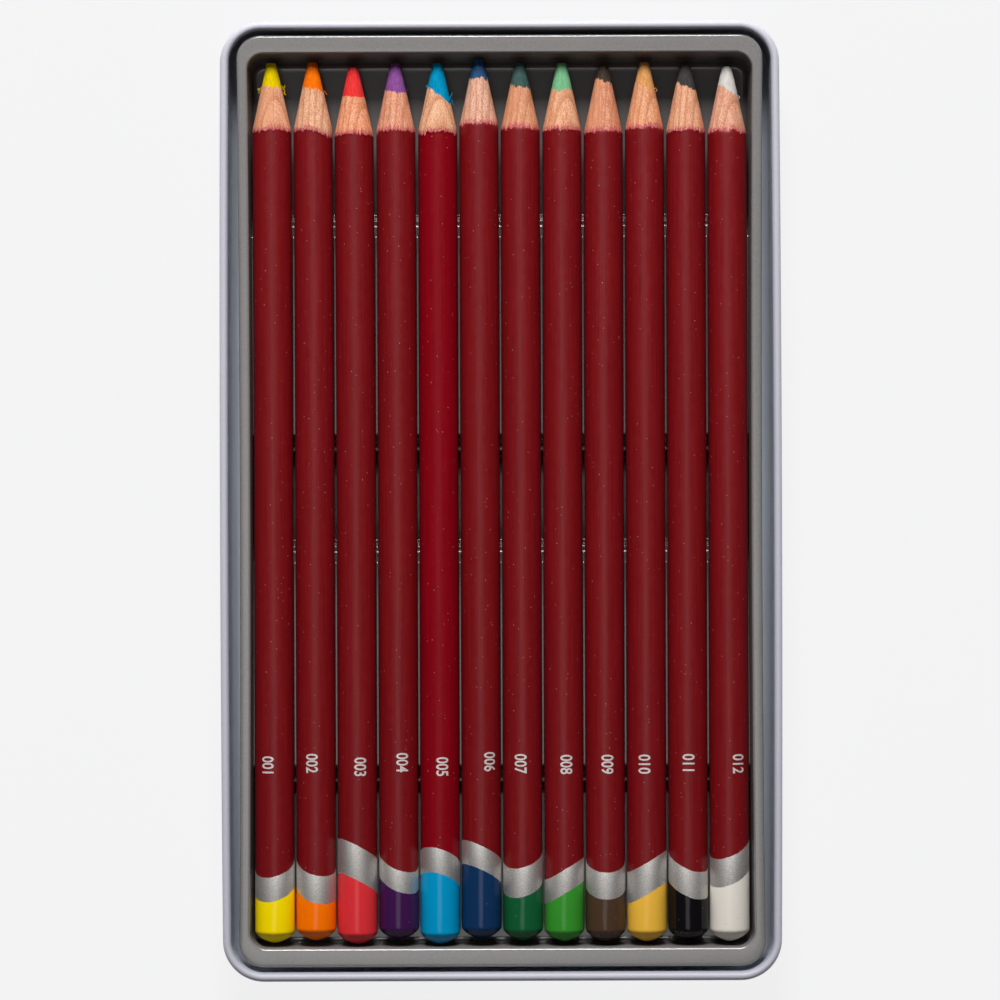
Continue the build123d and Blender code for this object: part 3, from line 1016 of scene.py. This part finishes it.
def torn(angle, seed, wander, teeth):
    """An uneven edge's offset in millimetres at an angle round a pencil."""
    spot = Vector((math.cos(angle), math.sin(angle), 0))
    slow = noise.noise(spot * 1.6 + Vector((0, 0, seed * 7.3)))
    fast = noise.noise(spot * 6.5 + Vector((0, 0, seed * 3.1)))
    finest = noise.noise(spot * 17 + Vector((0, 0, seed * 5.7)))
    return wander * slow - teeth * (1 - 4 * abs(fast)) - teeth * 1.2 * finest


def sideways(pencil, angle):
    """How far to the side an angle faces: -1 is left and 1 is right, as seen from above."""
    return math.sin(angle + math.radians(pencil.roll))


def sided(pencil, angle, pair):
    """A measure that goes from a left value to a right one across the pencil."""
    return pair[0] + (pair[1] - pair[0]) * (1 + sideways(pencil, angle)) / 2


def wood_edge(pencil, angle):
    """Distance from the point at which the wood starts."""
    teeth = 0.07 if pencil.name == "red" else 0.22
    return sided(pencil, angle, pencil.wood) + torn(angle, pencil.index + 1, 0.35, teeth)


def lacquer_edge(pencil, angle):
    """Distance from the point at which the lacquer starts."""
    drop = SIDE_DROP * sideways(pencil, angle) ** 2
    return sided(pencil, angle, pencil.lacquer) + drop + torn(angle, pencil.index + 31, 0.15, 0.26)


def bore_of(pencil):
    """How far from the point the core's cone ends, and its radius from there to the blunt end."""
    deepest = max(pencil.wood) + CORE_RUN
    return deepest, max(CORE_SIZE, cone_radius(deepest) - CORE_EASE)


print("yellow's wood starts", round(wood_edge(pencils[0], 0.0), 2), "mm from the point at the top")


# %% The wood and the core
def make_wood(pencil):
    """A tube from the blunt end to the torn edge on the cone."""
    length = pencil.length
    outer = BARREL_SIZE - LACQUER - 0.01
    deepest, bore = bore_of(pencil)

    def on_cone(share):
        def rule(angle):
            near, far = wood_edge(pencil, angle), lacquer_edge(pencil, angle) + 0.12
            distance = near + (far - near) * share
            return min(cone_radius(distance), BARREL_SIZE - 0.02), length - distance
        return rule

    def inner_edge(angle):
        distance = wood_edge(pencil, angle) + 0.1
        return cone_radius(distance) - 0.03, length - distance

    rings = [steady(bore + 0.02, WOOD_START), steady(outer - 1.6, WOOD_START), steady(outer - 0.4, 2.4),
             steady(outer, COAT_START), steady(outer, WARP_START),
             lambda angle: (outer, length - lacquer_edge(pencil, angle) - 0.5)]
    rings += [on_cone(share) for share in (1.0, 0.95, 0.9, 0.8, 0.65, 0.5, 0.35, 0.2, 0.08, 0.03, 0.0)]
    rings += [inner_edge, steady(bore + 0.02, length - deepest - 0.3)]
    mesh = turned_mesh(pencil, "wood", rings)
    ahead = mesh.attributes.new(AHEAD, "FLOAT", "POINT")
    for index in range(len(mesh.vertices)):
        angle = 2 * math.pi * (index % ROUND) / ROUND
        distance = length - rings[index // ROUND](angle)[1]
        ahead.data[index].value = lacquer_edge(pencil, angle) - distance
    return mesh


# How far from the point each ring of a worn tip is, and its radius
WORN_TIP = [(0.01, 0.66), (0.03, 0.8), (0.1, 0.89), (0.28, 0.96), (0.55, 1.04)]
WORN_END = 0.9  # the cone takes over at this distance
CORE_STEPS = 14


def make_core(pencil):
    """The rod and its worn point."""
    length, seed = pencil.length, pencil.index + 61
    deepest, bore = bore_of(pencil)
    blunt = 1.35 if pencil.name == "white" else 1.0

    def worn(distance, radius):
        return lambda angle: (radius * (1 + 0.08 * torn(angle, seed, 0.6, 0.3)), length - distance)

    def on_cone(distance):
        def rule(angle):
            rough = 0.025 * torn(angle + 0.05 * distance, seed + distance * 0.2, 0.5, 0.6)
            return cone_radius(distance) - 0.03 + rough, length - distance
        return rule

    start = WORN_END * blunt
    rings = [worn(distance * blunt, radius) for distance, radius in WORN_TIP]
    rings += [on_cone(start + (deepest - start) * step / CORE_STEPS) for step in range(1, CORE_STEPS + 1)]
    rings += [steady(bore, length - deepest - 0.4), steady(bore, WOOD_START)]
    return turned_mesh(pencil, "point", rings, start=length, stop=WOOD_START)


for pencil in pencils:
    body, core = f"{pencil.name}_pencil", f"{pencil.name}_core"
    place_piece(make_wood(pencil), cedar[pencil.name], body, "cedar", f"{pencil.name}_casing")
    place_piece(make_core(pencil), cores[pencil.name], body, core, core)
print("wood and cores are in their places")


# %% The lacquer, the band and the dip
def from_dip(pencil, radius, place):
    """A ring's rule at a distance from the dip's slanted edge."""
    def rule(angle):
        edge = pencil.reach - BARREL_SIZE * DIP_SLANT * math.cos(angle)
        return radius, edge + torn(angle, pencil.index + 91, 0.1, 0.03) + place
    return rule


def make_lacquer(pencil):
    """A thin sleeve whose upper edge lies feathered on the cone."""
    length = pencil.length
    outer, inner = BARREL_SIZE, BARREL_SIZE - LACQUER

    def on_cone(rise, back):
        def rule(angle):
            distance = lacquer_edge(pencil, angle) + back
            return min(cone_radius(distance) + rise, outer), length - distance
        return rule

    def before_cone(radius):
        return lambda angle: (radius, length - lacquer_edge(pencil, angle) - 0.9)

    rings = [steady(inner, COAT_START + 0.2), steady(outer, COAT_START), steady(outer, length - 60),
             before_cone(outer), on_cone(0.02, 0.45), on_cone(0.014, 0.12), on_cone(0.004, 0.0),
             on_cone(-0.05, 0.3), before_cone(inner)]
    return turned_mesh(pencil, "lacquer", rings)


def make_band(pencil):
    """Foil from under the dip's edge to a clean edge of the same slant."""
    outer = BARREL_SIZE + 0.022
    rings = [from_dip(pencil, outer - rise, place) for rise, place in (
        (0.04, -0.4), (0, -0.4), (0, pencil.band - 0.03), (0.01, pencil.band), (0.04, pencil.band))]
    return turned_mesh(pencil, "band", rings)


# Radius and place along the pencil of the dipped end's outline, from the middle of the blunt end
DIP_PROFILE = [(0.5, 0.04), (1.0, 0.17), (1.6, 0.38), (2.1, 0.62), (2.37, 0.74), (2.6, 0.86), (3.0, 1.12),
               (3.5, 1.56), (3.93, 2.05), (4.04, 2.27), (4.09, 2.5), (4.1, 2.75)]
# How far the dip stands out from the barrel on the way to its edge, and the distance from the edge
DIP_EDGE = [(DIP, -1.6), (0.055, -0.9), (0.035, -0.3), (0.026, 0.0), (-0.05, -0.1), (-0.05, -0.5)]


def make_dip(pencil):
    """A cup of enamel, domed at the blunt end, with a rounded, slanted edge."""
    outer = BARREL_SIZE + DIP
    rings = [steady(radius, along) for radius, along in DIP_PROFILE]
    rings += [from_dip(pencil, BARREL_SIZE + rise, place) for rise, place in DIP_EDGE]
    rings += [steady(outer - 0.12, COAT_START), steady(outer - 0.8, 2.2), steady(2.2, 0.98)]
    return turned_mesh(pencil, "dip", rings, start=0.0, stop=0.97)


for pencil in pencils:
    body, casing = f"{pencil.name}_pencil", f"{pencil.name}_casing"
    coat = ruby if pencil.name == "cyan" else wine
    place_piece(make_lacquer(pencil), coat, body, "lacquer", casing)
    place_piece(make_band(pencil), foil, body, "foil")
    place_piece(make_dip(pencil), dips[pencil.name], body, f"{pencil.name}_dip", casing)
print("lacquer, bands and dips are on")

# %% [markdown]
# ## Crumbs and shavings
#
# A blade leaves crumbs of pastel and short curled threads caught where core and wood meet. Every bit differs,
# but all are made the same way, so Geometry Nodes grows them from a few guide lines: a bent thread along each
# line, and small uneven grains scattered beside it. A fixed seed gives the same crumbs each time.


# %% The tree for crumbs
def crumb_tree():
    tree, given = new_tree("caught crumbs", {
        "Guide": "Geometry", "Thread Radius": "Float", "Grain Radius": "Float", "Spacing": "Float",
        "Scatter": "Float", "Seed": "Int", "Material": "Material",
    })

    def scattered(low, high):
        """A random vector between two lengths or two vectors."""
        return add(tree, "FunctionNodeRandomValue", {0: low, 1: high, "Seed": given["Seed"]},
                   data_type="FLOAT_VECTOR")

    def scaled(name, factor):
        return add(tree, "ShaderNodeMath", {0: given[name], 1: factor}, operation="MULTIPLY")

    line = add(tree, "GeometryNodeMeshToCurve", {"Mesh": given["Guide"]})
    smooth = add(tree, "GeometryNodeCurveSplineType", {"Curve": line}, spline_type="CATMULL_ROM")
    fine = add(tree, "GeometryNodeResampleCurve", {"Curve": smooth, "Count": 14})
    profile = add(tree, "GeometryNodeCurvePrimitiveCircle",
                  {"Resolution": 6, "Radius": given["Thread Radius"]})
    thread = add(tree, "GeometryNodeCurveToMesh",
                 {"Curve": fine, "Profile Curve": profile, "Fill Caps": True})
    uneven = scattered(scaled("Thread Radius", -0.4), scaled("Thread Radius", 0.4))
    ragged = add(tree, "GeometryNodeSetPosition", {"Geometry": thread, "Offset": uneven})
    spots = add(tree, "GeometryNodeCurveToPoints", {"Curve": smooth, "Length": given["Spacing"]},
                mode="LENGTH")
    away = scattered(scaled("Scatter", -1.0), given["Scatter"])
    strewn = add(tree, "GeometryNodeSetPosition", {"Geometry": spots, "Offset": away})
    grain = add(tree, "GeometryNodeMeshIcoSphere", {"Radius": given["Grain Radius"], "Subdivisions": 1})
    turn = scattered((0, 0, 0), (6.3, 6.3, 6.3))
    size = scattered((0.4, 0.5, 0.4), (1.1, 1.7, 1.0))
    grains = add(tree, "GeometryNodeInstanceOnPoints",
                 {"Points": strewn, "Instance": grain, "Rotation": turn, "Scale": size})
    whole = add(tree, "GeometryNodeJoinGeometry")
    for part in (ragged, grains):
        feed(whole, {0: part})
    end_tree(tree, whole, given["Material"])
    return tree


caught_crumbs = crumb_tree()

# %% Guide lines, and the crumbs they grow
# Each spot of a line: degrees from straight up, distance from the point, and height over the cone
guides = {
    "yellow": [[(-95, 5.0, 0.05), (-92, 5.3, 0.3), (-90, 5.6, 0.5), (-88, 5.2, 0.62)],
               [(-88, 5.5, 0.05), (-92, 5.9, 0.25), (-90, 6.2, 0.3)],
               [(86, 4.7, 0.05), (90, 5.1, 0.4), (90, 5.0, 0.62), (88, 4.6, 0.7)],
               [(90, 5.2, 0.1), (88, 5.7, 0.5), (90, 6.1, 0.25), (90, 6.5, 0.5)]],
    "orange": [[(84, 5.9, 0.03), (88, 6.2, 0.35), (90, 6.6, 0.4)]],
    "violet": [[(88, 5.7, 0.05), (86, 5.4, 0.3), (84, 5.2, 0.25)]],
    "cyan": [[(-88, 4.4, 0.05), (-88, 4.6, 0.3), (-85, 4.9, 0.1)],
             [(62, 7.6, 0.05), (75, 6.9, 0.3), (84, 6.3, 0.6), (82, 6.0, 0.85)],
             [(60, 7.8, 0.05), (78, 8.3, 0.3), (86, 8.8, 0.6), (90, 9.3, 0.8)],
             [(74, 7.2, 0.1), (84, 7.6, 0.4), (82, 8.0, 0.3)]],
    "blue": [[(-85, 4.2, 0.05), (-88, 4.5, 0.2), (-86, 4.8, 0.1)],
             [(35, 4.1, 0.02), (46, 4.5, 0.1), (55, 4.2, 0.05)],
             [(80, 4.2, 0.05), (84, 3.9, 0.2)]],
    "ochre": [[(58, 5.7, 0.05), (66, 5.4, 0.3), (76, 5.6, 0.45), (72, 6.0, 0.35), (62, 6.1, 0.1)]],
    "white": [[(82, 6.0, 0.03), (88, 6.3, 0.25), (86, 6.6, 0.15)]],
}


def guide_mesh(pencil):
    """The guide lines of a pencil as a mesh of edges."""
    points, edges = [], []
    for line in guides[pencil.name]:
        edges += [(len(points) + step, len(points) + step + 1) for step in range(len(line) - 1)]
        points += [on_pencil(pencil, math.radians(degrees - pencil.roll), cone_radius(distance) + height,
                             pencil.length - distance) for degrees, distance, height in line]
    mesh = bpy.data.meshes.new("guide")
    mesh.from_pydata(points, edges, [])
    return mesh


for pencil in pencils:
    if pencil.name in guides:
        crumbs = grow(f"{pencil.name}_crumbs", caught_crumbs, {
            "Thread Radius": 0.065 * MM, "Grain Radius": 0.08 * MM, "Spacing": 0.18 * MM,
            "Scatter": 0.08 * MM, "Seed": pencil.index + 1, "Material": cores[pencil.name],
        }, guide_mesh(pencil))
        dress(crumbs, f"{pencil.name}_pencil", f"{pencil.name}_core")
        print(crumbs.name, len(crumbs.data.polygons), "faces")

# %% [markdown]
# ## Numbers
#
# Each barrel carries its number in the set, stamped in foil. It starts as flat text, which is made a mesh and
# cut into narrow strips across its height, because it has to bend. Then each point is laid on the barrel: the
# text's length runs towards the blunt end and its height goes round.

# %% Stamp the numbers
NUMBER_HEIGHT = 2.4
NUMBER_PLACE = 38.6  # start of the text from the blunt end
NUMBER_SQUEEZE = 0.78  # the figures are narrow ones
NUMBER_STRIPS = 10
FIGURE_SHARE = 0.7  # a figure's height as a share of the text's size
STROKE = 0.06  # what each stroke gains on every side
FOIL_SHEET, FOIL_LIFT = 0.03, 0.008


def make_number(pencil):
    """The pencil's plain number, with three figures, as foil on the barrel."""
    words = bpy.data.curves.new("number", "FONT")
    words.body = f"{pencil.index + 1:03d}"
    words.size = NUMBER_HEIGHT / FIGURE_SHARE
    words.extrude = FOIL_SHEET / 2
    words.offset = STROKE
    holder = put("number", words)
    graph = bpy.context.evaluated_depsgraph_get()
    mesh = bpy.data.meshes.new_from_object(holder.evaluated_get(graph))
    bpy.data.objects.remove(holder)
    mesh.name = f"{pencil.name}_number"
    form = bmesh.new()
    form.from_mesh(mesh)
    bmesh.ops.remove_doubles(form, verts=form.verts, dist=0.001)
    for strip in range(1, NUMBER_STRIPS):
        bmesh.ops.bisect_plane(form, geom=form.verts[:] + form.edges[:] + form.faces[:],
                               plane_co=(0, NUMBER_HEIGHT * strip / NUMBER_STRIPS, 0), plane_no=(0, 1, 0))
    for vertex in form.verts:
        angle = (pencil.aside + vertex.co.y) / BARREL_SIZE - math.radians(pencil.roll)
        vertex.co = on_pencil(pencil, angle, BARREL_SIZE + FOIL_LIFT + vertex.co.z + FOIL_SHEET / 2,
                              NUMBER_PLACE - NUMBER_SQUEEZE * vertex.co.x)
    form.to_mesh(mesh)
    form.free()
    face_outwards(mesh)
    return mesh


for pencil in pencils:
    place_piece(make_number(pencil), pale_foil, f"{pencil.name}_pencil", "foil")
print("numbers 1 to", len(pencils), "are stamped")
